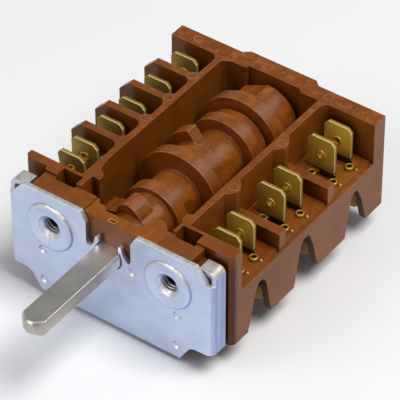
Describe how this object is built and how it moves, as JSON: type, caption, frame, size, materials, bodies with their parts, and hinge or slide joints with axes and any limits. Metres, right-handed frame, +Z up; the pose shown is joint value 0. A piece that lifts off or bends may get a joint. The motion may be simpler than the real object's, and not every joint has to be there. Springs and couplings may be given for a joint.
{
  "type": "oven selector switch",
  "caption": "Rotary selector switch with a flatted shaft and cam drum in an open moulded housing, rows of tab terminals and a bent steel mounting plate.",
  "frame": {"origin": "on the shaft axis, in the front face of the mounting plate", "axes": "+X to the right seen from the front, +Y back from the plate into the body, +Z up; the shaft points to -Y"},
  "size_m": [0.0499, 0.0826, 0.028],
  "materials": {
    "brown_plastic": "satin moulded thermoset",
    "insert_plastic": "satin moulded thermoset",
    "cover_plastic": "satin moulded thermoset",
    "drum_plastic": "satin moulded thermoset",
    "zinc_steel": "zinc plated sheet",
    "shaft_steel": "satin drawn bar",
    "pin_steel": "ground",
    "spring_steel": "drawn wire",
    "terminal_brass": "rolled sheet, slightly tarnished",
    "leaf_bronze": "rolled strip",
    "contact_silver": "polished"
  },
  "bodies": {
    "base": {"housing": "brown_plastic", "front_bearing": "insert_plastic", "mounting_plate": "zinc_steel", "detent_spring": "spring_steel", "base_cover": "cover_plastic", "terminal_left_1": "terminal_brass", "terminal_left_2": "terminal_brass", "terminal_left_3": "terminal_brass", "terminal_left_4": "terminal_brass", "terminal_left_5": "terminal_brass", "terminal_left_6": "terminal_brass", "terminal_right_1": "terminal_brass", "terminal_right_2": "terminal_brass", "terminal_right_3": "terminal_brass", "terminal_right_4": "terminal_brass", "terminal_right_5": "terminal_brass", "terminal_right_6": "terminal_brass", "contact_spring_1": "leaf_bronze", "contact_spring_2": "leaf_bronze", "contact_spring_3": "leaf_bronze", "contact_spring_4": "leaf_bronze", "contact_spring_5": "leaf_bronze", "contact_spring_6": "leaf_bronze", "spring_contact_1": "contact_silver", "spring_contact_2": "contact_silver", "spring_contact_3": "contact_silver", "spring_contact_4": "contact_silver", "spring_contact_5": "contact_silver", "spring_contact_6": "contact_silver", "fixed_contact_1": "contact_silver", "fixed_contact_2": "contact_silver", "fixed_contact_3": "contact_silver", "fixed_contact_4": "contact_silver", "fixed_contact_5": "contact_silver", "fixed_contact_6": "contact_silver"},
    "rotor": {"shaft": "shaft_steel", "cam_drum": "drum_plastic"},
    "plunger": {"detent_plunger": "pin_steel"}
  },
  "joints": [
    {"name": "drum_spin", "type": "hinge", "parent": "base", "child": "rotor", "pos_m": [0, 0.03, 0], "axis": [0, -1, 0], "continuous": true, "deforming": ["contact_spring_1", "contact_spring_2", "contact_spring_3", "contact_spring_4", "contact_spring_5", "contact_spring_6"]},
    {"name": "detent_slide", "type": "slide", "parent": "base", "child": "plunger", "axis": [0, 0, 1], "range_m": [0, 0.0005], "stiffness_N_per_m": 400, "springref_m": 0.0005, "deforming": ["detent_spring"]}
  ]
}
